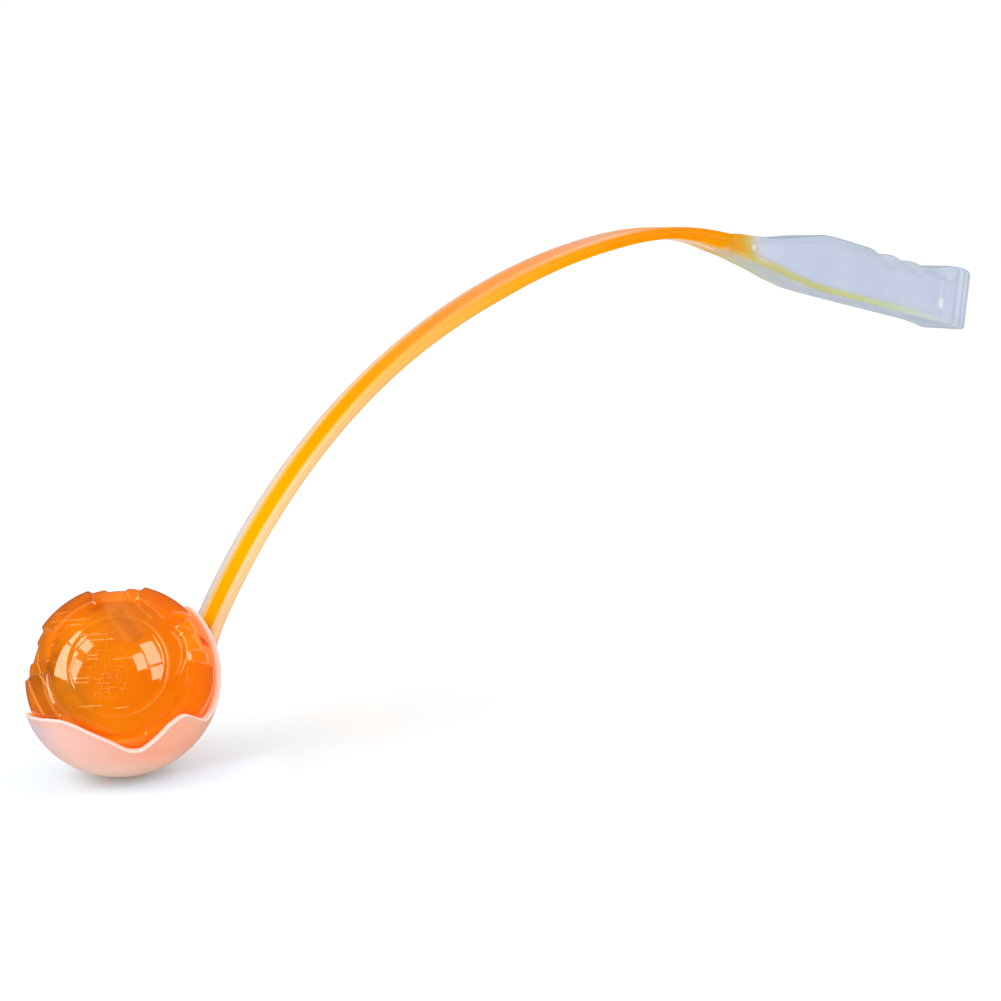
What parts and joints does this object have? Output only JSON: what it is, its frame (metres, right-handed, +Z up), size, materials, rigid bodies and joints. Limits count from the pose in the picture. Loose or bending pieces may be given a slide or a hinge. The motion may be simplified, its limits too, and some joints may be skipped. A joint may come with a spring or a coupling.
{
  "type": "dog ball thrower",
  "caption": "Curved flat-sprung arm with a clawed cup at one end gripping a treaded rubber ball and a deep hollow grip with finger scallops at the other.",
  "frame": {"origin": "middle of the bounding box in X and Y, at the height of the cup's lowest point", "axes": "+X from the cup towards the grip's end, +Z up, Y across; XZ is the middle plane of the arm and the cup"},
  "size_m": [0.482, 0.0656, 0.1908],
  "materials": {
    "frosted_peach": "frosted, see-through",
    "frosted_shaft": "frosted, see-through",
    "orange_core": "solid colour strip",
    "frosted_grip": "frosted, see-through",
    "frosted_plate": "frosted, see-through",
    "clear_orange": "glossy, see-through"
  },
  "bodies": {
    "thrower": {"ball_cup": "frosted_peach", "shaft_shell": "frosted_shaft", "shaft_core": "orange_core", "grip_frame": "frosted_grip", "side_plate_near": "frosted_plate", "side_plate_far": "frosted_plate", "end_cap": "frosted_grip"},
    "ball": {"ball_half_front": "clear_orange", "ball_half_back": "clear_orange"}
  },
  "joints": [
    {"name": "ball_release", "type": "slide", "parent": "thrower", "child": "ball", "axis": [-0.454, 0, 0.891], "range_m": [0, 0.08]}
  ]
}
